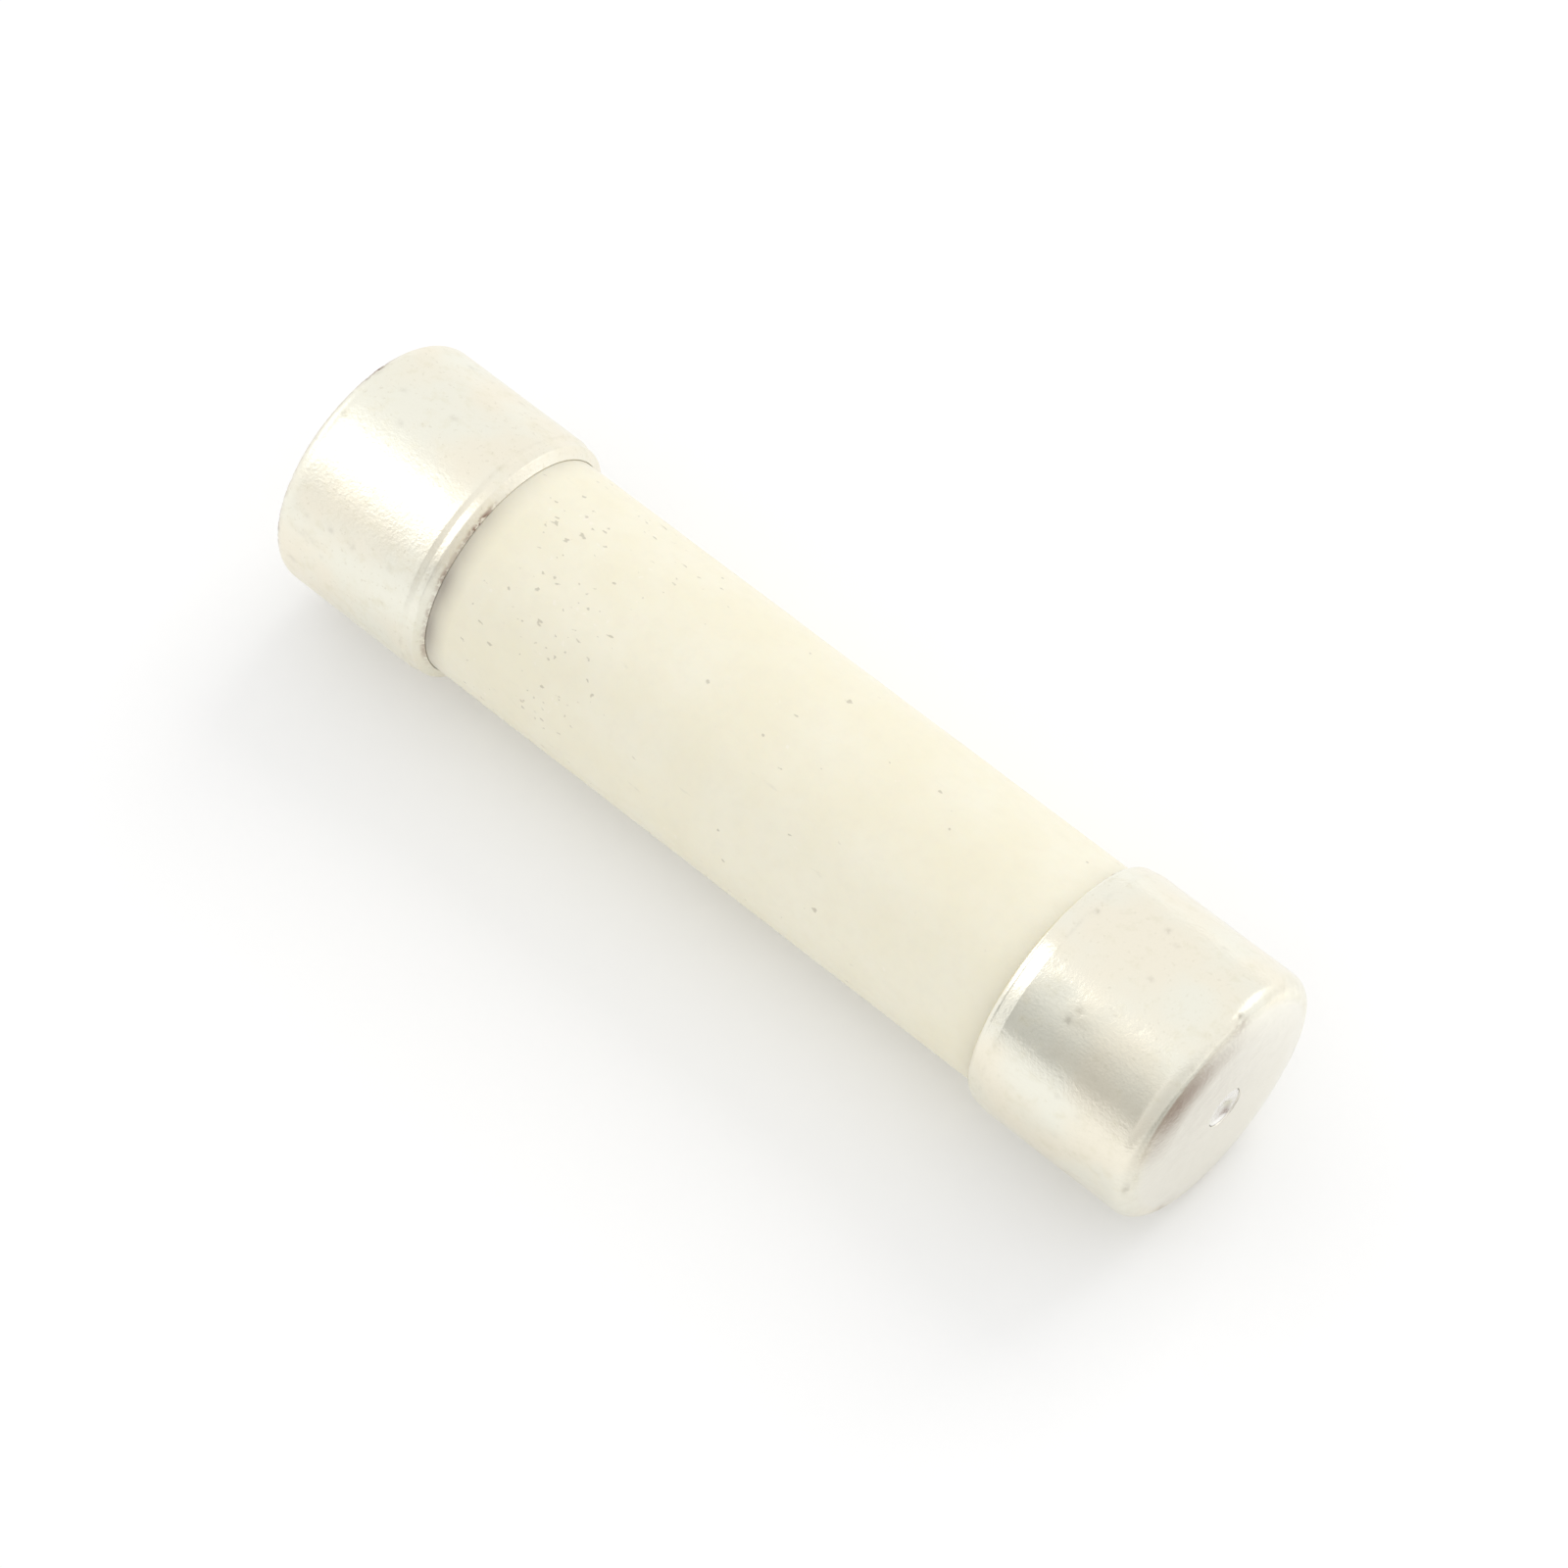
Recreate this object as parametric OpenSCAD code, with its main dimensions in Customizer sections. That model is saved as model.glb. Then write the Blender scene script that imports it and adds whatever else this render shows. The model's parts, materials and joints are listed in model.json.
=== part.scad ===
// Sand-filled cartridge fuse: a ceramic tube with a metal cap crimped over each end, and a fuse wire
// on its axis that is soldered through the middle of both caps.
// The fuse lies along X with its origin at its centre, and all sizes are in millimetres.

/* [Fuse] */
// Overall length between the flat ends of the two caps
fuse_length = 25.4; // [20:0.1:32]
// Outer diameter of the caps
cap_diameter = 6.35; // [5.5:0.05:8]

/* [End caps] */
// Length of a cap along the fuse
cap_length = 4.65; // [3:0.05:6.5]
// Sheet thickness of a cap's side wall
cap_wall = 0.25; // [0.15:0.01:0.35]
// Sheet thickness of a cap's closed end
cap_base = 0.3; // [0.2:0.01:0.6]
// Outer radius where the side wall turns into the closed end
cap_corner = 0.45; // [0.4:0.01:0.7]
// Width of the band that is crimped in at a cap's mouth
crimp_width = 0.5; // [0.3:0.05:1]
// Length of the slope between the crimped band and the rest of the side wall
crimp_slope = 0.12; // [0.05:0.01:0.25]
// Radial gap between the cap and the tube behind the crimped band
cap_clearance = 0.065; // [0.03:0.005:0.12]
// Diameter of the solder hole in the middle of the closed end
solder_hole_diameter = 1; // [0.7:0.05:1.4]

/* [Ceramic tube] */
// Diameter of the hole through the tube
tube_bore = 4; // [2.8:0.1:4.8]
// Chamfer on the outer edge at each end of the tube
tube_chamfer = 0.15; // [0.05:0.01:0.3]

/* [Sealing discs] */
// Thickness of the disc that keeps the sand in at each end
disc_thickness = 0.3; // [0.2:0.05:0.6]

/* [Fuse wire and solder] */
// Diameter of the fuse wire
wire_diameter = 0.3; // [0.1:0.05:0.5]
// Diameter of the tin bead halfway along the wire
bead_diameter = 0.8; // [0.6:0.05:1.4]
// Length of the tin bead along the wire
bead_length = 1.6; // [1.5:0.1:3]
// Depth of the hollow in a solder joint's outer face
solder_dish = 0.1; // [0.03:0.01:0.12]
// Thickness of the solder that covers the end of the wire
solder_cover = 0.12; // [0.05:0.01:0.2]
// Length of the solder's taper along the wire, inside the tube
solder_taper = 0.5; // [0.2:0.1:1.5]

/* [Fits] */
// Radial clearance of parts that fit into each other
fit = 0.01; // [0.01:0.005:0.02]
// Depth of a solder joint's rim below the flat end of the cap
solder_recess = 0.02; // [0.01:0.01:0.05]

/* [Hidden] */
$fn = 96;
cap_r = cap_diameter / 2;
cap_bore_r = cap_r - cap_wall;
// The bend keeps the sheet's thickness, so its inner radius is the outer one less the wall
cap_inner_corner = cap_corner - cap_wall;
tube_r = cap_bore_r - cap_clearance;
tube_bore_r = tube_bore / 2;
lip_bore_r = tube_r + fit;
lip_r = lip_bore_r + cap_wall;
solder_r = solder_hole_diameter / 2;
wire_r = wire_diameter / 2;
bead_r = bead_diameter / 2;
// The disc lies on the flat part of the closed end, inside the bend
disc_r = cap_bore_r - cap_inner_corner - fit;
// Depths below the flat end of a cap
tube_end = cap_base + disc_thickness;
wire_end = solder_recess + solder_dish + solder_cover;
tube_length = fuse_length - 2 * tube_end;
wire_length = fuse_length - 2 * wire_end;
left = -1;
right = 1;

// Puts a piece at one end of the fuse: its z = 0 is the flat end of the cap, +z points inwards
module at_end(side) {
    translate([side * fuse_length / 2, 0, 0])
        rotate([0, -90 * side, 0])
            children();
}

// A rod of the given radius and length along X, centred on the origin
module axial_rod(r, length) {
    rotate([0, 90, 0])
        cylinder(r = r, h = length, center = true);
}

// Half section of a cup, filled: it starts at z = start and has its outer corner rounded
module cup_outline(r, start, end, corner) {
    translate([0, start + corner])
        square([r, end - start - corner]);
    translate([0, start])
        square([r - corner, corner]);
    translate([r - corner, start + corner])
        circle(corner);
}

// Half section of the band that is crimped onto the tube, with the slope that leads to it
module crimp_outline() {
    band_start = cap_length - crimp_width;
    slope_end = band_start + crimp_slope;
    polygon([
        [cap_bore_r, band_start],
        [cap_r, band_start],
        [lip_r, slope_end],
        [lip_r, cap_length],
        [lip_bore_r, cap_length],
        [lip_bore_r, slope_end]
    ]);
}

// Drawn cup with a solder hole in its closed end and a crimped mouth
module end_cap() {
    rotate_extrude() {
        difference() {
            cup_outline(cap_r, 0, cap_length - crimp_width, cap_corner);
            cup_outline(cap_bore_r, cap_base, cap_length, cap_inner_corner);
            square([solder_r, cap_length]);
        }
        crimp_outline();
    }
}

// Flat washer that closes the end of the tube around the solder
module sealing_disc() {
    translate([0, 0, cap_base])
        difference() {
            cylinder(r = disc_r, h = disc_thickness);
            translate([0, 0, -disc_thickness])
                cylinder(r = solder_r, h = 3 * disc_thickness);
        }
}

// Outside of the solder: a plug in the cap and the disc, then a taper down to the wire
module solder_outline(grow = 0) {
    rotate_extrude()
        polygon([
            [0, solder_recess],
            [solder_r - fit + grow, solder_recess],
            [solder_r - fit + grow, tube_end],
            [wire_r + grow, tube_end + solder_taper],
            [0, tube_end + solder_taper]
        ]);
}

// Solder joint with a hollow outer face and a blind hole where the wire's end sits
module solder_joint() {
    dish_r = (pow(solder_r, 2) + pow(solder_dish, 2)) / (2 * solder_dish);
    difference() {
        solder_outline();
        translate([0, 0, solder_recess + solder_dish - dish_r])
            sphere(dish_r);
        translate([0, 0, wire_end])
            cylinder(r = wire_r, h = tube_end + solder_taper);
    }
}

// Bead with round ends, without the wire that runs through it
module bead_outline(grow = 0) {
    round_end = bead_length / 2 - bead_r;
    axial_rod(bead_r + grow, 2 * round_end);
    for (side = [left, right])
        translate([side * round_end, 0, 0])
            sphere(bead_r + grow);
}

module ceramic_tube() {
    color("cornsilk")
        difference() {
            rotate([0, 90, 0])
                rotate_extrude()
                    polygon([
                        [0, -tube_length / 2],
                        [tube_r - tube_chamfer, -tube_length / 2],
                        [tube_r, -tube_length / 2 + tube_chamfer],
                        [tube_r, tube_length / 2 - tube_chamfer],
                        [tube_r - tube_chamfer, tube_length / 2],
                        [0, tube_length / 2]
                    ]);
            axial_rod(tube_bore_r, 2 * tube_length);
        }
}

module left_end_cap() {
    color("silver")
        at_end(left)
            end_cap();
}

module right_end_cap() {
    color("silver")
        at_end(right)
            end_cap();
}

module left_sealing_disc() {
    color("tan")
        at_end(left)
            sealing_disc();
}

module right_sealing_disc() {
    color("tan")
        at_end(right)
            sealing_disc();
}

module left_solder_joint() {
    color("gainsboro")
        at_end(left)
            solder_joint();
}

module right_solder_joint() {
    color("gainsboro")
        at_end(right)
            solder_joint();
}

module fuse_wire() {
    color("lightgray")
        axial_rod(wire_r, wire_length);
}

module tin_bead() {
    color("darkgray")
        difference() {
            bead_outline();
            axial_rod(wire_r, 2 * bead_length);
        }
}

// Packed quartz sand: it fills the tube around the wire, the bead and the solder tapers
module sand_filler() {
    color("wheat")
        difference() {
            axial_rod(tube_bore_r - fit, tube_length);
            axial_rod(wire_r + fit, 2 * tube_length);
            bead_outline(fit);
            for (side = [left, right])
                at_end(side)
                    solder_outline(fit);
        }
}

ceramic_tube();
left_end_cap();
right_end_cap();
left_sealing_disc();
right_sealing_disc();
left_solder_joint();
right_solder_joint();
fuse_wire();
tin_bead();
sand_filler();
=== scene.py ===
"""The looks of a cartridge fuse: a cream ceramic tube with a nickel-plated cap crimped over each end.

The fuse lies along X. A place on it is given as a depth, in millimetres from one end of the fuse, a
radius, in millimetres from the axis, and an angle, from the top towards -Y. An angle is in degrees
where it is written as a number, and in radians in the arrays that a mesh is made from.
"""
import json
import math

import bmesh
import bpy
import numpy as np
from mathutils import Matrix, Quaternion, Vector

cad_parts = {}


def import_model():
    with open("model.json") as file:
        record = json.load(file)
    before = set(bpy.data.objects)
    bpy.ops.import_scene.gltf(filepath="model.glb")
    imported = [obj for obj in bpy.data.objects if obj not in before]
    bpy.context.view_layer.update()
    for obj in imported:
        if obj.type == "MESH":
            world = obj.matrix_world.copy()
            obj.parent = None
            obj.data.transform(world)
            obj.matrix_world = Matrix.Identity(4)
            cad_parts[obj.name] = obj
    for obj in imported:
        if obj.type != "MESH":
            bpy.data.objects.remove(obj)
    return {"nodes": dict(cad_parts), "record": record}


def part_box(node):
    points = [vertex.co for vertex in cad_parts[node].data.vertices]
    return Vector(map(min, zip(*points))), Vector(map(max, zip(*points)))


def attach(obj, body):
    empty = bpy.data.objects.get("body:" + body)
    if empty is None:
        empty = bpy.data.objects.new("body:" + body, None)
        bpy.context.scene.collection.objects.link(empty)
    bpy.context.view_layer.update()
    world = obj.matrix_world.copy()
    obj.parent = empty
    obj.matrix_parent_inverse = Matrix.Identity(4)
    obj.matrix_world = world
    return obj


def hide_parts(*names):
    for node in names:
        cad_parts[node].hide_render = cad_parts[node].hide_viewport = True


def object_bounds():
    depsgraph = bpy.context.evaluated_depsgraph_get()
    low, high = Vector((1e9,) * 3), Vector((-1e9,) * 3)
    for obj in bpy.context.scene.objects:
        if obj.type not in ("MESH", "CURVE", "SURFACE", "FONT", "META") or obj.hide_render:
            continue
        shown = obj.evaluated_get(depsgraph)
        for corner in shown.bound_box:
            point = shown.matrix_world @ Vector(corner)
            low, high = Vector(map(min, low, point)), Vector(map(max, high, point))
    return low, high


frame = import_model()
CAD_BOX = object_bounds()

MM = 0.001
FULL_TURN = 2 * math.pi
LEFT, RIGHT = -1, 1

# ---------------------------------------------------------------- sizes, in millimetres
cap_low, cap_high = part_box("right_end_cap")
tube_low, tube_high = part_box("ceramic_tube")
solder_low, solder_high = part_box("right_solder_joint")
wire_low, wire_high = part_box("fuse_wire")
sand_low, sand_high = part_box("sand_filler")
grip = next(m for m in frame["record"]["mounts"] if m["name"] == "right_cap")

HALF_LENGTH = cap_high.x / MM
CAP_R = cap_high.z / MM
CAP_LENGTH = (cap_high.x - cap_low.x) / MM
# The straight wall that a clip grips runs from the cap's corner to its crimped band
grip_end = grip["pos_m"][0] / MM + grip["dims"]["length_mm"] / 2
CAP_CORNER = HALF_LENGTH - grip_end
CRIMP_WIDTH = CAP_LENGTH - CAP_CORNER - grip["dims"]["length_mm"]
CRIMP_START = CAP_LENGTH - CRIMP_WIDTH
CRIMP_FILLET = 0.1
CAP_WALL = 0.25
CAP_BASE = 0.3
# The blind end is flat as far as DOME_R, and falls away a little from there to its rim
DOME_R = 2.3
DOME_ROUND = 3.0
DOME_FALL = math.tan(math.radians(14.0))
TUBE_R = tube_high.z / MM
TUBE_BORE_R = sand_high.z / MM + 0.01
TUBE_END = HALF_LENGTH - tube_high.x / MM
TUBE_CHAMFER = 0.15
LIP_BORE_R = TUBE_R + 0.01
LIP_R = LIP_BORE_R + CAP_WALL
SOLDER_R = solder_high.z / MM
SOLDER_RECESS = HALF_LENGTH - solder_high.x / MM
SOLDER_END = HALF_LENGTH - solder_low.x / MM
SOLDER_HOLE_R = SOLDER_R + 0.01
WIRE_R = wire_high.z / MM
WIRE_END = HALF_LENGTH - wire_high.x / MM

# How finely each mesh is divided: along its section in millimetres, and round the axis
CAP_STEP = 0.04
CAP_SEGMENTS = 420
TUBE_STEP = 0.1
TUBE_SEGMENTS = 320
SOLDER_STEP = 0.02
SOLDER_SEGMENTS = 144
HIDDEN_STEP = 1.0
LEAST_FILLET_PARTS = 6

# ---------------------------------------------------------------- colours
WARM_PLATE = (0.90, 0.85, 0.715)
COOL_PLATE = (0.885, 0.87, 0.76)
END_PLATE = (0.88, 0.855, 0.765)
PLATE_BLOT = (0.80, 0.76, 0.6)
PLATE_PIT = (0.66, 0.61, 0.48)
# Dirt, and painted shade along the caps' crimp lines and blind corners
GRIME_AND_SHADE = (0.27, 0.24, 0.19)
BARE_BRASS = (0.26, 0.14, 0.1)
CREAM = (0.885, 0.835, 0.655)
PALE_CREAM = (0.9, 0.86, 0.705)
CREAM_MOTTLE = (0.84, 0.79, 0.64)
DARK_SPECK = (0.38, 0.34, 0.26)
PALE_SPECK = (0.95, 0.9, 0.78)
GREY_RUB = (0.5, 0.49, 0.43)
# Painted shadow that the caps' lips cast on the tube
LIP_SHADOW_PAINT = (0.42, 0.38, 0.32)
# Flux, and painted shade on the wall of the solder's hollow
FLUX_AND_SHADE = (0.52, 0.5, 0.3)
WHITE = (1.0, 1.0, 1.0)
FLOOR_PAPER = (0.9, 0.9, 0.9)


# ---------------------------------------------------------------- shapes
def outline(corners, step, closed=True, coarse=()):
    """Points round a section of (depth, radius, fillet) corners, one every step or so.

    coarse lists the corners whose run to the next one is out of sight, and isn't divided finely.
    """
    count = len(corners)
    points = []
    plain = set()
    for i, (depth, radius, fillet) in enumerate(corners):
        here = np.array([depth, radius])
        is_end = not closed and i in (0, count - 1)
        if fillet == 0 or is_end:
            points.append(here)
        else:
            back = np.array(corners[i - 1][:2]) - here
            on = np.array(corners[(i + 1) % count][:2]) - here
            points += rounded(here, back, on, fillet, step)
        if i in coarse:
            plain.add(len(points) - 1)
    divided = []
    ends = points[1:] + points[:1] if closed else points[1:]
    for i, (start, end) in enumerate(zip(points, ends)):
        reach = HIDDEN_STEP if i in plain else step
        parts = max(1, math.ceil(np.linalg.norm(end - start) / reach))
        divided += [start + (end - start) * k / parts for k in range(parts)]
    return np.array(divided if closed else divided + [points[-1]])


def rounded(corner, back, on, fillet, step):
    """Points of the arc that rounds a corner off, between its ways back and on."""
    back = back / np.linalg.norm(back)
    on = on / np.linalg.norm(on)
    half = math.acos(np.clip(back @ on, -1, 1)) / 2
    middle = (back + on) / np.linalg.norm(back + on)
    centre = corner + middle * fillet / math.sin(half)
    first = corner + back * fillet / math.tan(half) - centre
    last = corner + on * fillet / math.tan(half) - centre
    turn = math.pi - 2 * half
    parts = max(LEAST_FILLET_PARTS, math.ceil(fillet * turn / step))
    arc = []
    for k in range(parts + 1):
        share = k / parts
        from_first = math.sin((1 - share) * turn) / math.sin(turn)
        from_last = math.sin(share * turn) / math.sin(turn)
        arc.append(centre + from_first * first + from_last * last)
    return arc


def lathe(name, section, side, segments, shape, node, material, closed=True):
    """Turns a section of (depth, radius) points round the axis into one smooth closed mesh.

    side is the end of the fuse that depth is measured from. shape(depth, radius, angle) gives how far
    each point sinks along its normal, in millimetres, and masks from 0 to 1 by name, which materials
    read as attributes.
    """
    if closed:
        along = np.roll(section, -1, 0) - np.roll(section, 1, 0)
    else:
        along = np.gradient(section, axis=0)
    along /= np.linalg.norm(along, axis=1)[:, None]
    around = np.arange(segments) * FULL_TURN / segments
    depth, angle = np.meshgrid(section[:, 0], around, indexing="ij")
    radius = np.repeat(section[:, 1:], segments, axis=1)
    sink, masks = shape(depth, radius, angle)
    depth = depth + sink * along[:, 1:]
    radius = radius - sink * along[:, :1]
    across = -radius * np.sin(angle)
    up = radius * np.cos(angle)
    points = np.stack([side * (HALF_LENGTH - depth), across, up], axis=-1)

    rings = len(section) if closed else len(section) - 1
    i, j = np.meshgrid(np.arange(rings), np.arange(segments), indexing="ij")
    here, beyond = i * segments, (i + 1) % len(section) * segments
    next_j = (j + 1) % segments
    faces = np.stack([here + j, beyond + j, beyond + next_j, here + next_j], axis=-1)

    mesh = bpy.data.meshes.new(name)
    mesh.from_pydata((points.reshape(-1, 3) * MM).tolist(), [], faces.reshape(-1, 4).tolist())
    for mask, value in masks.items():
        layer = mesh.attributes.new(mask, "FLOAT", "POINT")
        layer.data.foreach_set("value", value.astype(np.float32).ravel())
    work = bmesh.new()
    work.from_mesh(mesh)
    bmesh.ops.remove_doubles(work, verts=work.verts, dist=1e-9)
    bmesh.ops.recalc_face_normals(work, faces=work.faces)
    work.to_mesh(mesh)
    work.free()
    mesh.polygons.foreach_set("use_smooth", [True] * len(mesh.polygons))
    piece = bpy.data.objects.new(name, mesh)
    bpy.context.scene.collection.objects.link(piece)
    mesh.materials.append(material)
    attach(piece, "root")
    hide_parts(node)


def ramp(value, start, end):
    """0 at the start and 1 at the end, straight between them and held beyond them."""
    return np.clip((value - start) / (end - start), 0, 1)


def bell(value, middle, reach):
    """1 at the middle, falling off smoothly on both sides of it."""
    return np.exp(-(((value - middle) / reach) ** 2))


def ripples(random, along, around, size, count=24):
    """A smooth random field from about -1 to 1 that closes on itself round the axis."""
    total = np.zeros_like(along)
    for _ in range(count):
        wave = random.uniform(0.6, 1.6) / size
        heading = random.uniform(0, FULL_TURN)
        turns = round(wave * math.sin(heading) * FULL_TURN * CAP_R)
        run = FULL_TURN * wave * math.cos(heading)
        total += np.cos(run * along + turns * around + random.uniform(0, FULL_TURN))
    return np.clip(total / math.sqrt(2 * count), -1, 1)


def turn_from(angle, place):
    """How far round each point is from a place in degrees, in radians from -pi to pi."""
    return np.angle(np.exp(1j * (angle - math.radians(place))))


def stretch_of(angle, place, reach):
    """1 at a place round the fuse, falling off smoothly over a reach in degrees."""
    return bell(turn_from(angle, place), 0.0, math.radians(reach))


# ---------------------------------------------------------------- nodes
def add(tree, kind, inputs=None, **settings):
    """Adds a node. An input is a number, a colour or another node's output."""
    made = tree.nodes.new(kind)
    for name, value in settings.items():
        setattr(made, name, value)
    for name, value in (inputs or {}).items():
        socket = made.inputs[name]
        if isinstance(value, bpy.types.NodeSocket):
            tree.links.new(value, socket)
        elif hasattr(socket.default_value, "__len__") and len(socket.default_value) == 4:
            socket.default_value = (*value, 1.0)
        else:
            socket.default_value = value
    return made


def maths(tree, operation, a, b, clamp=False):
    return add(tree, "ShaderNodeMath", {0: a, 1: b}, operation=operation, use_clamp=clamp).outputs[0]


def scaled(tree, value, low, high, to_low=0.0, to_high=1.0):
    """Maps a value from one range to another, held at its ends."""
    inputs = {"Value": value, "From Min": low, "From Max": high, "To Min": to_low, "To Max": to_high}
    return add(tree, "ShaderNodeMapRange", inputs, interpolation_type="SMOOTHSTEP").outputs[0]


def blend(tree, share, below, above):
    """Lays one colour over another. A Mix node has sockets of every type, and these are its colours."""
    return add(tree, "ShaderNodeMix", {0: share, 6: below, 7: above}, data_type="RGBA").outputs[2]


def place_in_mm(tree, offset=(0, 0, 0), stretch=(1, 1, 1)):
    """The place on the object in millimetres. A pattern is drawn out where stretch is below 1."""
    where = add(tree, "ShaderNodeTexCoord").outputs["Object"]
    size = tuple(s / MM for s in stretch)
    return add(tree, "ShaderNodeMapping", {"Vector": where, "Location": offset, "Scale": size}).outputs[0]


def noise(tree, place, scale, detail=2.0, roughness=0.5):
    inputs = {"Vector": place, "Scale": scale, "Detail": detail, "Roughness": roughness}
    return add(tree, "ShaderNodeTexNoise", inputs).outputs[0]


def scattered(tree, place, scale, size, presence):
    """Ragged specks: one to a cell of the field, of its own size, in the given share of the cells."""
    rag_scale, rag, soft_edge = 7.0, 0.22, 0.14
    ragged = add(tree, "ShaderNodeTexNoise", {"Vector": place, "Scale": rag_scale}).outputs["Color"]
    shift = add(tree, "ShaderNodeVectorMath", {0: ragged, 1: (0.5, 0.5, 0.5)}, operation="SUBTRACT")
    shift = add(tree, "ShaderNodeVectorMath", {0: shift.outputs[0], "Scale": rag}, operation="SCALE")
    where = add(tree, "ShaderNodeVectorMath", {0: place, 1: shift.outputs[0]}, operation="ADD")
    field = add(tree, "ShaderNodeTexVoronoi", {"Vector": where.outputs[0], "Scale": scale})
    chance = add(tree, "ShaderNodeSeparateColor", {0: field.outputs["Color"]}).outputs
    here = maths(tree, "LESS_THAN", chance[0], presence)
    reach = maths(tree, "MULTIPLY", chance[1], size)
    near = maths(tree, "SUBTRACT", reach, field.outputs["Distance"])
    return maths(tree, "MULTIPLY", here, scaled(tree, near, 0.0, soft_edge))


def attribute(tree, name):
    """A mask that lathe() put on the mesh."""
    return add(tree, "ShaderNodeAttribute", attribute_name=name).outputs["Fac"]


def bump(tree, height, depth_mm, below=None):
    """The normal of a surface with this relief, on top of the relief below it."""
    inputs = {"Height": height, "Distance": depth_mm * MM, "Strength": 1.0}
    if below is not None:
        inputs["Normal"] = below
    return add(tree, "ShaderNodeBump", inputs).outputs[0]


# ---------------------------------------------------------------- materials
def empty_material(name):
    """A material without nodes, and its node tree."""
    material = bpy.data.materials.new(name)
    material.use_nodes = True
    material.node_tree.nodes.clear()
    return material, material.node_tree


def surface(tree, colour, roughness, normal, settings):
    """Ends a material with its surface shader. Settings are the shader's own values by name."""
    inputs = {"Base Color": colour, "Roughness": roughness, "Normal": normal, **settings}
    shader = add(tree, "ShaderNodeBsdfPrincipled", inputs).outputs[0]
    add(tree, "ShaderNodeOutputMaterial", {0: shader})


def nickel(name, frost, grain_mm, offset):
    """Satin nickel plate over brass: pitted and frosted, worn to the brass where it was cut.

    frost is its mean roughness and the strength of its pits, and offset moves its patterns.
    """
    material, tree = empty_material(name)
    place = place_in_mm(tree, offset)
    drawn_out = place_in_mm(tree, offset, (0.25, 1.0, 1.0))
    clouds = noise(tree, place, scale=0.5, detail=3.0)
    blots = noise(tree, place, scale=3.0, detail=4.0, roughness=0.6)
    pits = noise(tree, place, scale=9.0, detail=2.0, roughness=0.6)
    smears = noise(tree, place, scale=6.0, detail=3.0)
    patches = noise(tree, place, scale=8.0, detail=3.0)
    grain = noise(tree, place, scale=12.0, detail=2.0, roughness=0.6)
    drag = noise(tree, drawn_out, scale=3.0, detail=3.0, roughness=0.6)

    plate = blend(tree, scaled(tree, clouds, 0.35, 0.65), WARM_PLATE, COOL_PLATE)
    plate = blend(tree, scaled(tree, blots, 0.5, 0.75, 0.0, 0.4), plate, PLATE_BLOT)
    plate = blend(tree, scaled(tree, pits, 0.6, 0.75, 0.0, frost), plate, PLATE_PIT)
    plate = blend(tree, attribute(tree, "end"), plate, END_PLATE)
    # Dirt in nicks and chips, and painted shade along the crimp line and the blind corner, laid on in
    # smears
    smear_share = scaled(tree, smears, 0.3, 0.6, 0.2, 0.8)
    plate = blend(tree, maths(tree, "MULTIPLY", attribute(tree, "grime"), smear_share), plate, GRIME_AND_SHADE)
    peeled = scaled(tree, patches, 0.35, 0.55, 0.1, 1.0)
    worn = maths(tree, "MULTIPLY", attribute(tree, "bare"), peeled, clamp=True)
    colour = blend(tree, worn, plate, BARE_BRASS)

    rough = scaled(tree, blots, 0.3, 0.7, frost * 0.85, frost * 1.15)
    added_where_worn = maths(tree, "MULTIPLY", worn, 0.15)
    rough = maths(tree, "ADD", rough, added_where_worn)
    normal = bump(tree, grain, grain_mm)
    normal = bump(tree, drag, 0.6 * grain_mm, normal)
    surface(tree, colour, rough, normal, {"Metallic": 1.0})
    return material


def handled_stretch(tree, place, clouds):
    """The share of cells that hold a speck: most of them near the left cap, and in clouds there."""
    along = add(tree, "ShaderNodeSeparateXYZ", {0: place}).outputs["X"]
    near_left = scaled(tree, along, -7.6, -6.8)
    not_middle = scaled(tree, along, -4.6, -2.6, 1.0, 0.0)
    stretch = maths(tree, "MULTIPLY", near_left, not_middle)
    clouded = maths(tree, "MULTIPLY", stretch, scaled(tree, clouds, 0.3, 0.55))
    return scaled(tree, clouded, 0.0, 1.0, 0.03, 0.65)


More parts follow.
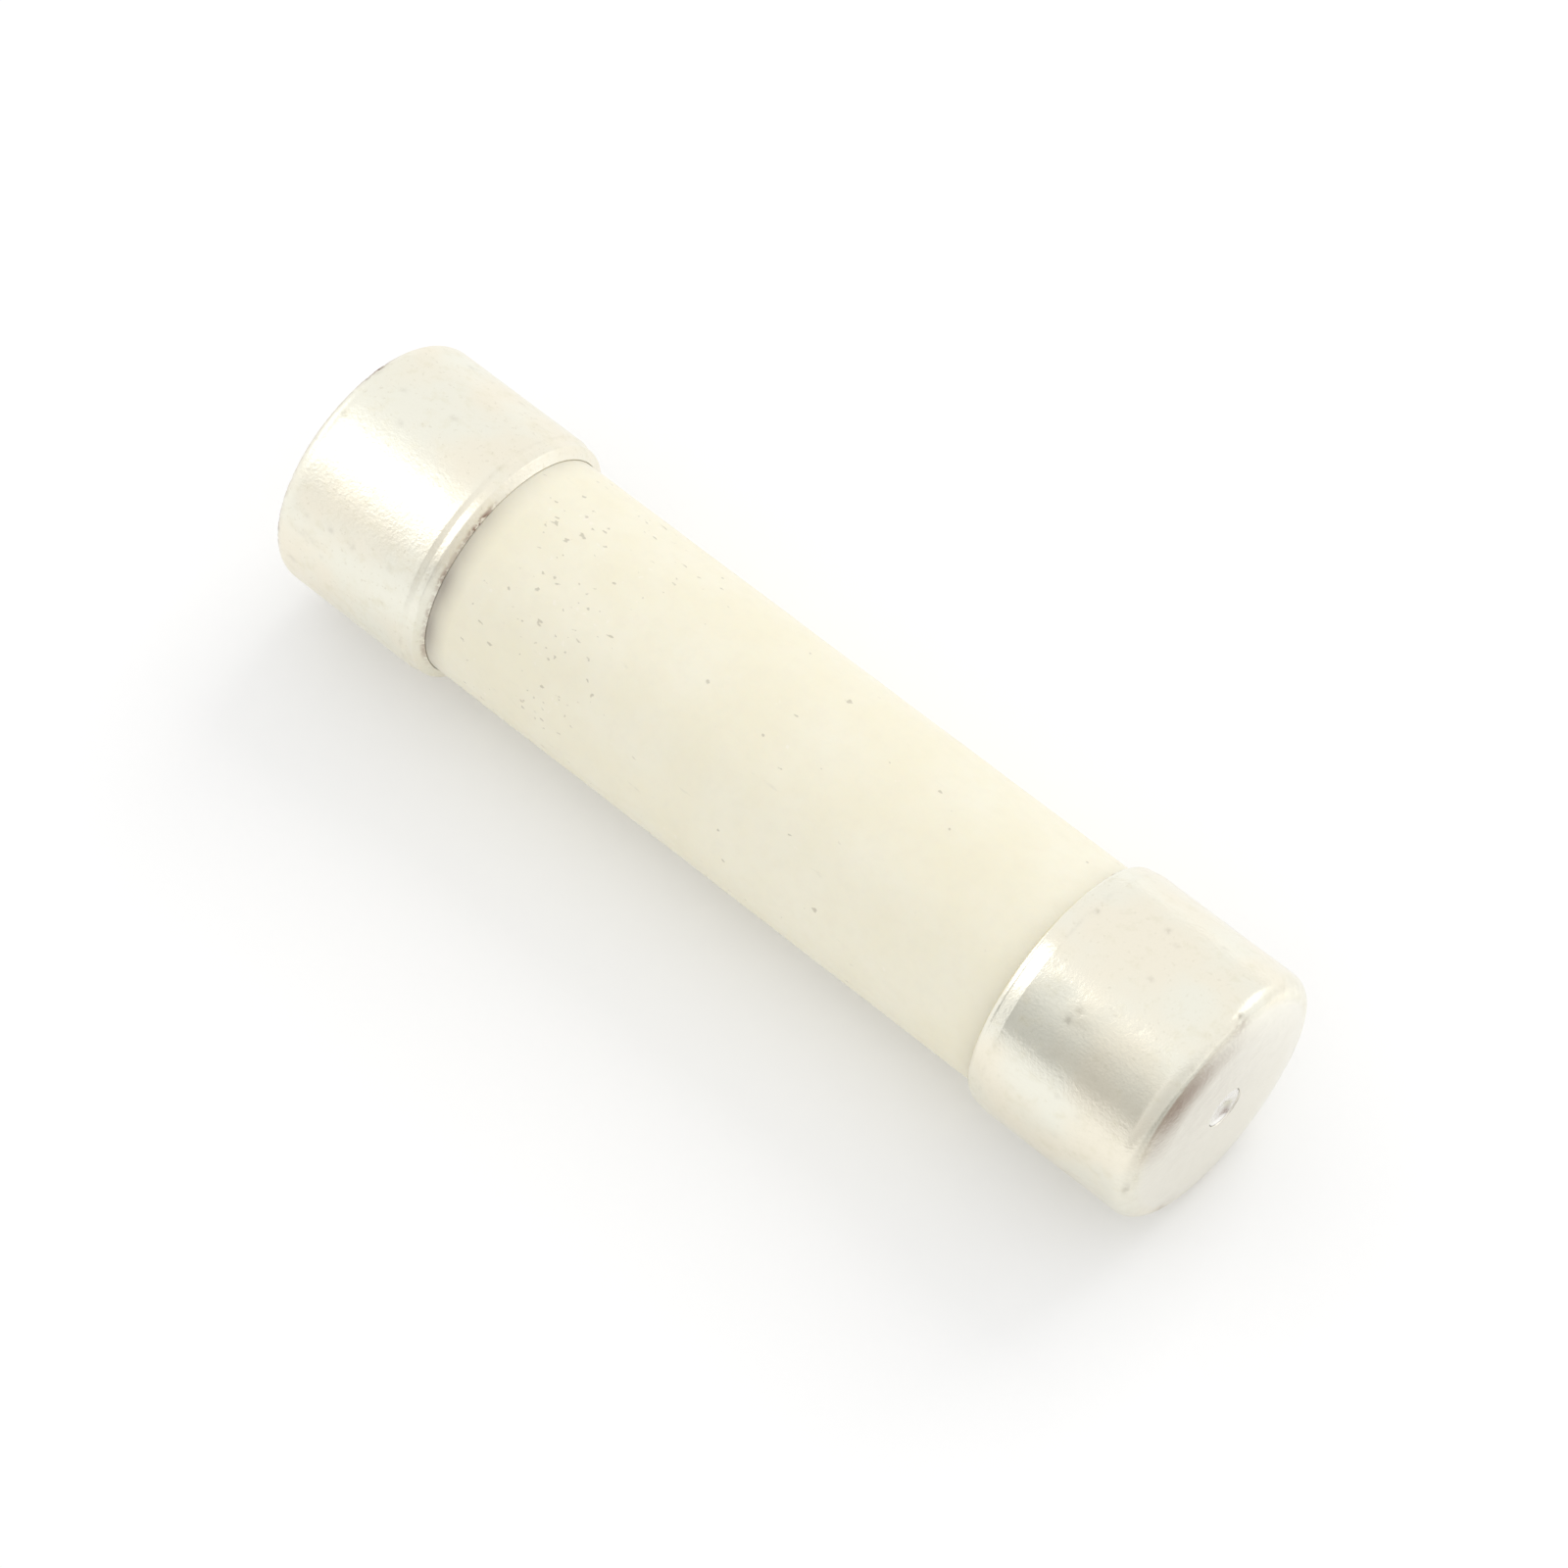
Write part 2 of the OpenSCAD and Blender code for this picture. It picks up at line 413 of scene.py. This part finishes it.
def ceramic():
    """Cream steatite: a satin skin, faintly mottled, with specks and grey rubs, most near one cap."""
    material, tree = empty_material("cream_steatite")
    place = place_in_mm(tree)
    drawn_out = place_in_mm(tree, stretch=(0.6, 1.0, 1.0))
    rubbed = place_in_mm(tree, (3.0, 0.0, 7.0), (0.35, 1.4, 1.4))
    clouds = noise(tree, place, scale=0.45, detail=4.0, roughness=0.55)
    mottle = noise(tree, place, scale=3.0, detail=4.0, roughness=0.6)
    rubs = noise(tree, rubbed, scale=1.5, detail=5.0, roughness=0.65)
    waves = noise(tree, place, scale=1.2, detail=3.0)
    grain = noise(tree, place, scale=14.0, detail=3.0, roughness=0.6)

    body = blend(tree, scaled(tree, clouds, 0.3, 0.7), CREAM, PALE_CREAM)
    body = blend(tree, scaled(tree, mottle, 0.4, 0.75, 0.0, 0.3), body, CREAM_MOTTLE)
    share = handled_stretch(tree, place, clouds)
    dark = scattered(tree, drawn_out, scale=6.5, size=0.36, presence=share)
    body = blend(tree, maths(tree, "MULTIPLY", dark, 0.48), body, DARK_SPECK)
    fewer = maths(tree, "MULTIPLY", share, 0.5)
    pale = scattered(tree, place, scale=5.6, size=0.34, presence=fewer)
    body = blend(tree, maths(tree, "MULTIPLY", pale, 0.5), body, PALE_SPECK)
    body = blend(tree, scaled(tree, rubs, 0.66, 0.76, 0.0, 0.25), body, GREY_RUB)
    # Painted shadow on the tube beside the caps' lips
    body = blend(tree, attribute(tree, "soil"), body, LIP_SHADOW_PAINT)

    rough = scaled(tree, mottle, 0.3, 0.7, 0.38, 0.5)
    normal = bump(tree, grain, 0.004, bump(tree, waves, 0.012))
    translucent = {
        "Subsurface Weight": 0.15,
        "Subsurface Radius": (1.0, 0.8, 0.5),
        "Subsurface Scale": 0.4 * MM,
    }
    surface(tree, body, rough, normal, translucent)
    return material


def grained(name, dark, light, *, scale, roughness, metallic, depth_mm, stain=None):
    """A mottled and slightly bumpy surface. A stain is a mask and the colour that it lays on top."""
    material, tree = empty_material(name)
    grain = noise(tree, place_in_mm(tree), scale, detail=4.0, roughness=0.6)
    colour = blend(tree, scaled(tree, grain, 0.3, 0.7), dark, light)
    if stain:
        mask, tint = stain
        colour = blend(tree, attribute(tree, mask), colour, tint)
    rough = scaled(tree, grain, 0.3, 0.7, roughness * 0.85, min(1.0, roughness * 1.15))
    surface(tree, colour, rough, bump(tree, grain, depth_mm), {"Metallic": metallic})
    return material


def solder_metal():
    """Bright tin solder, with a little brown flux on one side that is partly painted shade."""
    return grained(
        "lead_free_solder",
        (0.92, 0.91, 0.87),
        (0.97, 0.96, 0.92),
        scale=5.0,
        roughness=0.27,
        metallic=1.0,
        depth_mm=0.004,
        stain=("flux", FLUX_AND_SHADE),
    )


# ---------------------------------------------------------------- pieces
def cap_section(slope, lip):
    """Wall of a cap, from its solder hole over the outside to the mouth and back inside.

    slope is the run of its crimp. lip is the corners of its cut edge, each given as its distance back
    from the mouth, its distance in from the crimped band, and its fillet.
    """
    bore_r = CAP_R - CAP_WALL
    seen = [
        (0.0, SOLDER_HOLE_R, 0.03),
        (0.0, DOME_R, DOME_ROUND),
        (DOME_FALL * (CAP_R - DOME_R), CAP_R, CAP_CORNER),
        (CRIMP_START, CAP_R, CRIMP_FILLET),
        (CRIMP_START + slope, LIP_R, CRIMP_FILLET),
    ]
    seen += [(CAP_LENGTH - back, LIP_R - drop, fillet) for back, drop, fillet in lip]
    hidden = [
        (CAP_LENGTH, LIP_BORE_R, 0.005),
        (CRIMP_START + slope, LIP_BORE_R, 0.0),
        (CRIMP_START, bore_r, 0.0),
        (CAP_BASE, bore_r, CAP_CORNER - CAP_WALL),
        (CAP_BASE, SOLDER_HOLE_R, 0.0),
    ]
    return outline(seen + hidden, CAP_STEP, coarse=range(len(seen), len(seen + hidden)))


def random_nicks(random, count):
    """Small marks scattered over the wall of a cap, each as cap_shape() takes them."""
    nicks = []
    for _ in range(count):
        place = random.uniform(0.1, CRIMP_START)
        at = random.uniform(-180, 180)
        size = random.uniform(0.06, 0.12)
        sink = random.uniform(0.001, 0.004)
        grime = random.uniform(0, 0.3)
        nicks.append((place, at, size, 0.8 * size, sink, grime))
    return nicks


def cap_shape(marks, scuffs, torn, chips, *, seed, wave_mm, rim_depth):
    """Sinks and masks of a cap: slow waves, marks, a knocked corner, and an uneven cut edge.

    A mark is (depth, angle, length, width, sink, darkening). A scuff shows bare metal on the corner,
    at rim_depth, and a tear shows it on the cut edge: each is (angle, reach, strength). A chip is a
    knocked stretch of the corner, (angle, reach, sink, darkening). Darkening is dirt, and on the blind
    rim it is painted shade as well.
    """
    random = np.random.default_rng(seed)
    marks = random_nicks(random, count=40) + marks
    corner_r = CAP_R - CAP_CORNER
    corner_depth, corner_reach = 0.22, 0.13
    rim_reach = 0.06
    crimp_line, crimp_line_reach = CRIMP_START + 0.02, 0.05
    burr_mm, tear_mm = 0.008, 0.02
    # Darkening along the crimp line is dirt and painted shade; round the blind corner it is painted shade
    crimp_line_dirt_and_shade, corner_painted_shade = 0.14, 0.08

    def shape(depth, radius, angle):
        wall = ramp(radius, CAP_R - 0.9 * CAP_WALL, CAP_R - 0.8 * CAP_WALL)
        blind = ramp(depth, CAP_BASE - 0.01, CAP_BASE - 0.02)
        mouth = ramp(depth, CAP_LENGTH - 0.08, CAP_LENGTH - 0.03)
        # The cut edge stays true where it meets the tube, because its fillets there are tiny
        cut = mouth * ramp(radius, LIP_BORE_R + 0.01, LIP_BORE_R + 0.06)
        end = blind * ramp(radius, corner_r + 0.1, corner_r - 0.1)
        skin = np.maximum(wall, blind) * (1 - mouth)
        # Ripples given this in place of the depth change round the cap only
        level = np.zeros_like(depth)

        sink = skin * wave_mm * (1 + ripples(random, depth, angle, 1.4)) * (radius / CAP_R) ** 2
        grime = np.zeros_like(depth)
        bare = np.zeros_like(depth)
        for place, at, length, width, deep, darkening in marks:
            gap = turn_from(angle, at) * CAP_R
            here = wall * bell(depth, place, length) * bell(gap, 0.0, width)
            sink += deep * here
            grime += darkening * here

        # Dirt and painted shade in the crimp line
        line = wall * bell(depth, crimp_line, crimp_line_reach)
        grime += crimp_line_dirt_and_shade * line * (0.5 + 0.5 * ripples(random, level, angle, 0.8))
        # Painted shade round the blind corner, uneven round the cap
        corner = skin * bell(depth, corner_depth, corner_reach) * (radius > corner_r)
        grime += corner_painted_shade * corner * (0.7 + 0.3 * ripples(random, level, angle, 1.0))
        rag = np.clip(ripples(random, depth, angle, 0.22) + 0.2, 0, 1)
        # Chips are sunk, and darkened with dirt and painted shade
        for at, reach, deep, darkening in chips:
            here = corner * stretch_of(angle, at, reach)
            sink += deep * here * rag
            grime += darkening * here * (0.5 + rag)

        burr = 0.5 + 0.5 * ripples(random, level, angle, 0.22)
        sink += burr_mm * cut * burr
        for at, reach, strength in torn:
            here = stretch_of(angle, at, reach) * strength
            bare += mouth * here
            sink += tear_mm * cut * here * burr
        rim = skin * bell(depth, rim_depth, rim_reach) * (radius > DOME_R)
        for at, reach, strength in scuffs:
            bare += rim * stretch_of(angle, at, reach) * strength
        return sink, {"bare": np.clip(bare, 0, 1), "grime": np.clip(grime, 0, 1), "end": end}

    return shape


def left_cap():
    """The frosted cap: its blind rim is knocked in several places and its cut edge is torn."""
    marks = [
        (4.45, 46, 0.12, 0.35, 0.004, 0.35),
        (1.2, 70, 0.3, 0.1, 0.004, 0.2),
        (2.4, -130, 0.2, 0.2, 0.01, 0.3),
    ]
    scuffs = [(-9, 7, 1.0), (84, 14, 0.8), (35, 110, 0.3)]
    torn = [
        (18, 9, 1.0),
        (34, 6, 0.3),
        (47, 7, 0.6),
        (66, 9, 0.4),
        (90, 14, 0.5),
        (-150, 25, 0.5),
        (-100, 12, 0.6),
    ]
    # The chip at 84 degrees is darkened most: painted shade along the blind rim, over a knocked corner
    chips = [
        (-8, 8, 0.02, 0.6),
        (54, 9, 0.015, 0.15),
        (84, 12, 0.02, 1.0),
        (125, 10, 0.03, 0.4),
        (-95, 14, 0.03, 0.4),
        (-160, 8, 0.03, 0.4),
    ]
    bevelled_lip = [(0.18, 0.0, 0.05), (0.0, 0.235, 0.01)]
    lathe(
        "left_cap_shell",
        cap_section(slope=0.12, lip=bevelled_lip),
        LEFT,
        CAP_SEGMENTS,
        shape=cap_shape(marks, scuffs, torn, chips, seed=3, wave_mm=0.002, rim_depth=0.2),
        node="left_end_cap",
        material=nickel("nickel_frosted", frost=0.35, grain_mm=0.009, offset=(0, 0, 0)),
    )


def right_cap():
    """The smoother cap: nicked along its grip, and rubbed to the brass at places on its corner."""
    marks = [
        (2.7, -20.5, 0.07, 0.08, 0.007, 0.4),
        (4.07, -7, 0.06, 0.06, 0.006, 0.5),
        (2.9, 29, 0.1, 0.07, 0.008, 0.35),
        (3.0, 35, 0.08, 0.1, 0.008, 0.45),
        (1.6, 21, 0.09, 0.07, 0.004, 0.05),
        (0.235, -10, 0.06, 0.07, 0.006, 0.8),
        (3.5, 29, 0.4, 0.25, 0.008, 0.08),
        (2.8, 34, 0.35, 0.2, 0.008, 0.1),
        (2.0, 40, 0.4, 0.18, 0.005, 0.05),
        (0.24, 85, 0.07, 0.2, 0.003, 0.35),
        (2.1, -60, 0.3, 0.06, 0.006, 0.3),
        (1.2, 120, 0.1, 0.3, 0.01, 0.3),
        (2.6, -140, 0.2, 0.1, 0.01, 0.3),
    ]
    scuffs = [(-9, 6, 0.3), (140, 7, 0.4)]
    torn = [(-30, 6, 0.6), (95, 5, 0.8), (165, 8, 0.8)]
    chips = [(-120, 10, 0.02, 0.3)]
    rounded_lip = [(0.0, 0.0, 0.19)]
    lathe(
        "right_cap_shell",
        cap_section(slope=0.3, lip=rounded_lip),
        RIGHT,
        CAP_SEGMENTS,
        shape=cap_shape(marks, scuffs, torn, chips, seed=5, wave_mm=0.004, rim_depth=0.14),
        node="right_end_cap",
        material=nickel("nickel_satin", frost=0.22, grain_mm=0.005, offset=(40, 0, 0)),
    )


def barrel():
    """The tube: slightly wavy outside, and with a painted shadow beside the mouths of the caps."""
    far_end = 2 * HALF_LENGTH - TUBE_END
    far_mouth = 2 * HALF_LENGTH - CAP_LENGTH
    edge_fillet, bore_fillet, chamfer_fillet = 0.03, 0.05, 0.05
    section = outline(
        [
            (TUBE_END, TUBE_BORE_R, bore_fillet),
            (TUBE_END, TUBE_R - TUBE_CHAMFER, edge_fillet),
            (TUBE_END + TUBE_CHAMFER, TUBE_R, chamfer_fillet),
            (CRIMP_START, TUBE_R, 0.0),
            (2 * HALF_LENGTH - CRIMP_START, TUBE_R, 0.0),
            (far_end - TUBE_CHAMFER, TUBE_R, chamfer_fillet),
            (far_end, TUBE_R - TUBE_CHAMFER, edge_fillet),
            (far_end, TUBE_BORE_R, bore_fillet),
        ],
        TUBE_STEP,
        # All but the two chamfers and the stretch between the caps
        coarse=(0, 2, 4, 6, 7),
    )
    random = np.random.default_rng(11)
    wave_mm = 0.006

    def shape(depth, radius, angle):
        outside = ramp(radius, TUBE_R - 0.02, TUBE_R)
        wave = 0.5 + 0.5 * ripples(random, depth, angle, 2.2)
        # Painted shadow of the caps' lips on the tube: darkest on the side towards -Y, above all by the
        # left cap
        front = stretch_of(angle, 62, 45)
        soil = np.zeros_like(depth)
        for mouth, least, most in ((CAP_LENGTH, 0.1, 0.2), (far_mouth, 0.2, 1.0)):
            fade = ramp(np.abs(depth - mouth), 0.6, 0.1)
            soil += (least + (most - least) * front) * fade * (0.4 + 0.6 * fade)
        uneven = 0.85 + 0.15 * ripples(random, np.zeros_like(depth), angle, 1.2)
        return outside * wave_mm * wave, {"soil": np.clip(outside * soil * uneven, 0, 1)}

    lathe(
        "ceramic_barrel",
        section,
        RIGHT,
        TUBE_SEGMENTS,
        shape=shape,
        node="ceramic_tube",
        material=ceramic(),
    )


def solder(end, side, material, seed):
    """Solder joint: an off-centre hollow in its face, flux and painted shade on one side, and a taper
    inside.
    """
    section = outline(
        [
            (SOLDER_RECESS, 0.0, 0.0),
            (SOLDER_RECESS, SOLDER_R, 0.008),
            (TUBE_END, SOLDER_R, 0.03),
            (SOLDER_END, WIRE_R + 0.005, 0.0),
            (SOLDER_END, WIRE_R, 0.0),
            (WIRE_END, WIRE_R, 0.0),
            (WIRE_END, 0.0, 0.0),
        ],
        SOLDER_STEP,
        closed=False,
    )
    random = np.random.default_rng(seed)
    hollow_across, hollow_up, hollow_r, hollow_mm = -0.06, -0.14, 0.3, 0.085
    # A dark olive tint on one side of the hollow: flux, and painted shade as well
    tint_across, tint_up, tint_width, tint_height, tint_strength = 0.2, -0.12, 0.12, 0.14, 0.5
    wave_mm = 0.01

    def shape(depth, radius, angle):
        face = ramp(depth, SOLDER_RECESS + 0.02, SOLDER_RECESS) * (radius < SOLDER_R - 0.01)
        edge = ramp(radius, SOLDER_R, SOLDER_R - 0.06)
        across, up = -radius * np.sin(angle), radius * np.cos(angle)
        hollow = np.exp(-((np.hypot(across - hollow_across, up - hollow_up) / hollow_r) ** 4))
        waves = 0.5 + 0.5 * ripples(random, across, np.zeros_like(angle), 0.5, count=12)
        sink = face * edge * (hollow_mm * hollow + wave_mm * waves)
        flux = face * bell(across, tint_across, tint_width) * bell(up, tint_up, tint_height)
        return sink, {"flux": tint_strength * flux}

    lathe(
        f"{end}_solder",
        section,
        side,
        SOLDER_SEGMENTS,
        shape=shape,
        node=f"{end}_solder_joint",
        material=material,
        closed=False,
    )


def dress_inner_nodes():
    """Materials of the pieces that stay as the frame has them, hidden inside the tube."""
    fibre = grained(
        "vulcanised_fibre",
        (0.3, 0.2, 0.12),
        (0.46, 0.33, 0.2),
        scale=6.0,
        roughness=0.8,
        metallic=0.0,
        depth_mm=0.01,
    )
    sand = grained(
        "quartz_sand",
        (0.5, 0.44, 0.33),
        (0.78, 0.72, 0.6),
        scale=7.0,
        roughness=0.9,
        metallic=0.0,
        depth_mm=0.06,
    )
    wire = grained(
        "silvered_copper",
        (0.78, 0.76, 0.74),
        (0.9, 0.89, 0.87),
        scale=12.0,
        roughness=0.25,
        metallic=1.0,
        depth_mm=0.002,
    )
    tin = grained(
        "tin",
        (0.5, 0.5, 0.49),
        (0.68, 0.68, 0.66),
        scale=5.0,
        roughness=0.35,
        metallic=1.0,
        depth_mm=0.01,
    )
    finishes = {
        "left_sealing_disc": fibre,
        "right_sealing_disc": fibre,
        "sand_filler": sand,
        "fuse_wire": wire,
        "tin_bead": tin,
    }
    for node, material in finishes.items():
        slots = frame["nodes"][node].data.materials
        slots.clear()
        slots.append(material)


# ---------------------------------------------------------------- stage
def rectangle(name, x, y, height, material):
    """A level rectangle that reaches x and y to each side of its middle, in metres."""
    mesh = bpy.data.meshes.new(name)
    corners = [(-x, -y, height), (x, -y, height), (x, y, height), (-x, y, height)]
    mesh.from_pydata(corners, [], [(0, 1, 2, 3)])
    mesh.materials.append(material)
    return bpy.data.objects.new(name, mesh)


def seen_or_mirrored(tree):
    """1 on what the camera sees directly, in a reflection or through something, and 0 on the rest."""
    path = add(tree, "ShaderNodeLightPath").outputs
    seen = maths(tree, "ADD", path["Is Camera Ray"], path["Is Glossy Ray"])
    return maths(tree, "ADD", seen, path["Is Transmission Ray"], clamp=True)


def floor(level):
    """A pale floor that keeps the fuse's shadow and makes up the rest to white."""
    material, tree = empty_material("white_floor")
    paper = add(tree, "ShaderNodeBsdfDiffuse", {"Color": FLOOR_PAPER}).outputs[0]
    strength = maths(tree, "MULTIPLY", seen_or_mirrored(tree), 1 - FLOOR_PAPER[0])
    glow = add(tree, "ShaderNodeEmission", {"Color": WHITE, "Strength": strength}).outputs[0]
    both = add(tree, "ShaderNodeAddShader", {0: paper, 1: glow}).outputs[0]
    add(tree, "ShaderNodeOutputMaterial", {0: both})
    piece = rectangle("floor", 2.0, 2.0, level, material)
    bpy.context.scene.collection.objects.link(piece)


def world():
    """White all round: a plain level for what is lit, and full white for what is seen or reflected."""
    made = bpy.data.worlds.new("studio")
    bpy.context.scene.world = made
    made.use_nodes = True
    tree = made.node_tree
    tree.nodes.clear()
    light = add(tree, "ShaderNodeBackground", {"Color": WHITE, "Strength": 0.93}).outputs[0]
    white = add(tree, "ShaderNodeBackground", {"Color": WHITE, "Strength": 1.0}).outputs[0]
    both = add(tree, "ShaderNodeMixShader", {0: seen_or_mirrored(tree), 1: light, 2: white}).outputs[0]
    add(tree, "ShaderNodeOutputWorld", {0: both})


def aimed(made, place, target):
    """Puts a lamp or card at a place and faces it to a target, both in millimetres."""
    made.location = Vector(place) * MM
    made.rotation_mode = "QUATERNION"
    made.rotation_quaternion = (Vector(target) - Vector(place)).to_track_quat("-Z", "Y")
    bpy.context.scene.collection.objects.link(made)


def softbox(name, place, target, size, level, for_gloss):
    """An area lamp. It lights either what is dull or what is shiny, and level is how bright it looks."""
    lamp = bpy.data.lights.new(name, "AREA")
    lamp.shape = "RECTANGLE"
    lamp.size = size[0] * MM
    lamp.size_y = size[1] * MM
    lamp.energy = level * math.pi * lamp.size * lamp.size_y
    made = bpy.data.objects.new(name, lamp)
    made.visible_camera = False
    made.visible_glossy = for_gloss
    made.visible_diffuse = not for_gloss
    aimed(made, place, target)


def card(name, place, target, size, turn=0.0):
    """A card that only reflections see: its node tree, and the place on it in half sizes."""
    x, y = size[0] / 2 * MM, size[1] / 2 * MM
    material, tree = empty_material(name)
    made = rectangle(name, x, y, 0, material)
    aimed(made, place, target)
    made.rotation_quaternion @= Quaternion((0, 0, 1), math.radians(turn))
    made.visible_camera = False
    made.visible_diffuse = False
    made.visible_transmission = False
    made.visible_shadow = False
    where = add(tree, "ShaderNodeTexCoord").outputs["Object"]
    return tree, add(tree, "ShaderNodeMapping", {"Vector": where, "Scale": (1 / x, 1 / y, 1)}).outputs[0]


def flag(name, place, target, size, low, high):
    """A grey card, shaded from its foot to its top."""
    tree, on_card = card(name, place, target, size)
    height = add(tree, "ShaderNodeSeparateXYZ", {0: on_card}).outputs["Y"]
    shade = blend(tree, scaled(tree, height, -0.7, 1.0), low, high)
    paper = add(tree, "ShaderNodeEmission", {"Color": shade, "Strength": 1.0}).outputs[0]
    add(tree, "ShaderNodeOutputMaterial", {0: paper})


def soft_card(name, place, target, size, colour, turn=0.0, level=1.0):
    """A round or oval card of one colour, fading to nothing at its edge."""
    tree, on_card = card(name, place, target, size, turn)
    near = add(tree, "ShaderNodeTexGradient", {"Vector": on_card}, gradient_type="SPHERICAL").outputs["Fac"]
    nothing = add(tree, "ShaderNodeBsdfTransparent").outputs[0]
    paper = add(tree, "ShaderNodeEmission", {"Color": colour, "Strength": level}).outputs[0]
    both = add(tree, "ShaderNodeMixShader", {0: scaled(tree, near, 0.0, 1.0), 1: nothing, 2: paper})
    add(tree, "ShaderNodeOutputMaterial", {0: both.outputs[0]})


def lights():
    """One lamp for what is dull. The other lamps and the cards are what the shiny caps reflect."""
    left, right = (-10.5, 0, 0), (10.5, -2, 2)
    softbox("key", (0, 230, 207), (0, 0, 0), (160, 160), 2.2, for_gloss=False)
    softbox("left_highlight", (-42.5, -32, 53), left, (19, 56), 1.6, for_gloss=True)
    softbox("rim_left", (-220, -30, 50), right, (120, 60), 1.2, for_gloss=True)
    softbox("rim_right", (119, 166, 55), right, (115, 90), 0.5, for_gloss=True)
    grey, pale = (0.52, 0.52, 0.51), (0.95, 0.95, 0.94)
    flag("stripe_flag", (-8.0, -54.3, 42), (13, -2, 2), (36, 78), grey, pale)
    shade, brown = (0.71, 0.7, 0.69), (0.25, 0.145, 0.11)
    soft_card("front_shade", (31.1, -25.9, 3.3), (12.4, -1.5, 2), (158, 129), shade)
    # These lie just above the floor, in front of the right cap's flat end
    dark, glow = (0.39, 0.38, 0.36), (1.0, 1.0, 0.99)
    soft_card("near_shade", (19.1, -0.2, -3.1), (19.1, -0.2, -10), (12.5, 8.4), brown, turn=-31.5)
    soft_card("far_shade", (35.4, -7.3, -3.05), (35.4, -7.3, -10), (56, 33), dark, turn=-25.2)
    soft_card("near_glow", (17.1, 6.5, -3.12), (17.1, 6.5, -10), (10.4, 11.2), glow, level=1.2)


def camera():
    """The photograph's viewing angle. The fuse's centre lies a little above the middle of the picture."""
    azimuth, elevation = math.radians(41.8), math.radians(58.4)
    distance = 139.6
    to_right, to_top = 0.074, -0.306
    back = Vector(
        (
            math.sin(azimuth) * math.cos(elevation),
            -math.cos(azimuth) * math.cos(elevation),
            math.sin(elevation),
        )
    )
    right = Vector((math.cos(azimuth), math.sin(azimuth), 0))
    up = back.cross(right)
    lens = bpy.data.cameras.new("camera")
    lens.lens = 145.7
    lens.sensor_width = 36.0
    lens.clip_start = 1 * MM
    lens.clip_end = 100.0
    made = bpy.data.objects.new("camera", lens)
    made.location = (to_right * right + to_top * up + distance * back) * MM
    made.rotation_mode = "QUATERNION"
    made.rotation_quaternion = (-back).to_track_quat("-Z", "Y")
    bpy.context.scene.collection.objects.link(made)
    bpy.context.scene.camera = made


camera()
world()
floor(CAD_BOX[0].z)
lights()
left_cap()
right_cap()
barrel()
tin_solder = solder_metal()
solder("left", LEFT, tin_solder, seed=21)
solder("right", RIGHT, tin_solder, seed=22)
dress_inner_nodes()
bpy.context.scene.view_settings.view_transform = "Standard"
